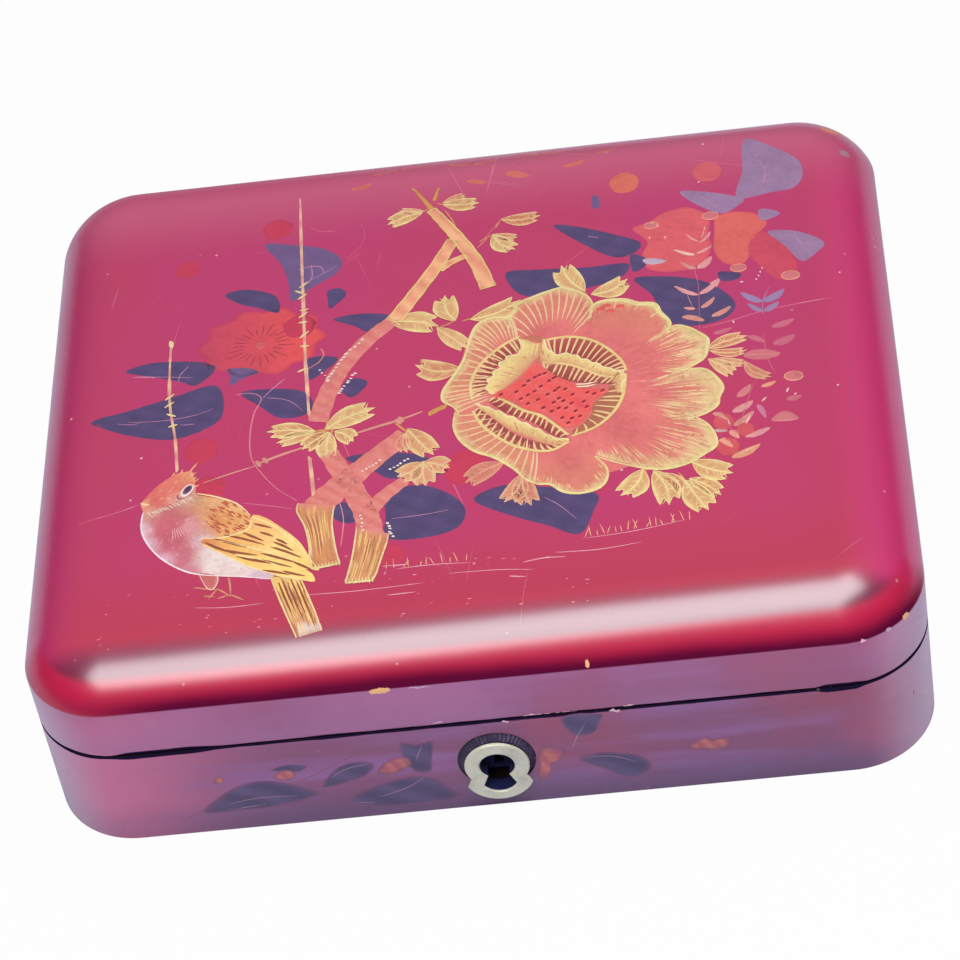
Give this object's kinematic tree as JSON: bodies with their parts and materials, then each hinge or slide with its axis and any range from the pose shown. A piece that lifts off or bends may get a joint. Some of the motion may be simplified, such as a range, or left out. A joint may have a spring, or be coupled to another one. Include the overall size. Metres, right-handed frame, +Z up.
{
  "type": "lacquer lockbox",
  "caption": "Low rectangular red lacquer box with round corners, a domed lid on back hinges and a keyhole lock in the front wall.",
  "frame": {"origin": "on the table under the middle of the whole box, from the escutcheon's face to the hinge knuckles", "axes": "+X to the right along the front, +Y to the hinges at the back, +Z up"},
  "size_m": [0.2, 0.175, 0.0543],
  "materials": {
    "red_lacquer": "glossy crimson lacquer over bent softwood, with gold and coloured lacquer painting, fine scratches and worn edges",
    "black_lacquer": "satin black lacquer on the underside and inside",
    "brass": "aged brass, dulled in the corners",
    "lock_steel": "filed and browned steel",
    "pale_metal": "pale nickel silver, dull and finely pitted",
    "dark_patina": "dark purplish patina in the flutes, lighter on the ridges"
  },
  "bodies": {
    "base": {"base_wall_ring": "red_lacquer", "base_bottom_board": "black_lacquer", "hinge_base_leaf_left": "brass", "hinge_pin_left": "lock_steel", "hinge_base_screw_left_1": "brass", "hinge_base_screw_left_2": "brass", "hinge_base_leaf_right": "brass", "hinge_pin_right": "lock_steel", "hinge_base_screw_right_1": "brass", "hinge_base_screw_right_2": "brass", "escutcheon_collar": "dark_patina", "escutcheon_plate": "pale_metal", "lock_plate": "brass", "lock_cap": "brass", "lock_screw_1": "brass", "lock_screw_2": "brass", "lock_screw_3": "brass", "lock_screw_4": "brass"},
    "lid": {"lid_rim_ring": "red_lacquer", "lid_top_panel": "red_lacquer", "hinge_lid_leaf_left": "brass", "hinge_lid_screw_left_1": "brass", "hinge_lid_screw_left_2": "brass", "hinge_lid_leaf_right": "brass", "hinge_lid_screw_right_1": "brass", "hinge_lid_screw_right_2": "brass", "link_plate": "brass", "link_screw_1": "brass", "link_screw_2": "brass"},
    "bolt": {"lock_bolt": "lock_steel", "bolt_spring": "lock_steel"}
  },
  "joints": [
    {"name": "lid_hinge", "type": "hinge", "parent": "base", "child": "lid", "pos_m": [0, 0.08565, 0.028], "axis": [-1, 0, 0], "range_deg": [0, 100]},
    {"name": "bolt_slide", "type": "slide", "parent": "base", "child": "bolt", "axis": [1, 0, 0], "range_m": [0, 0.003]}
  ]
}
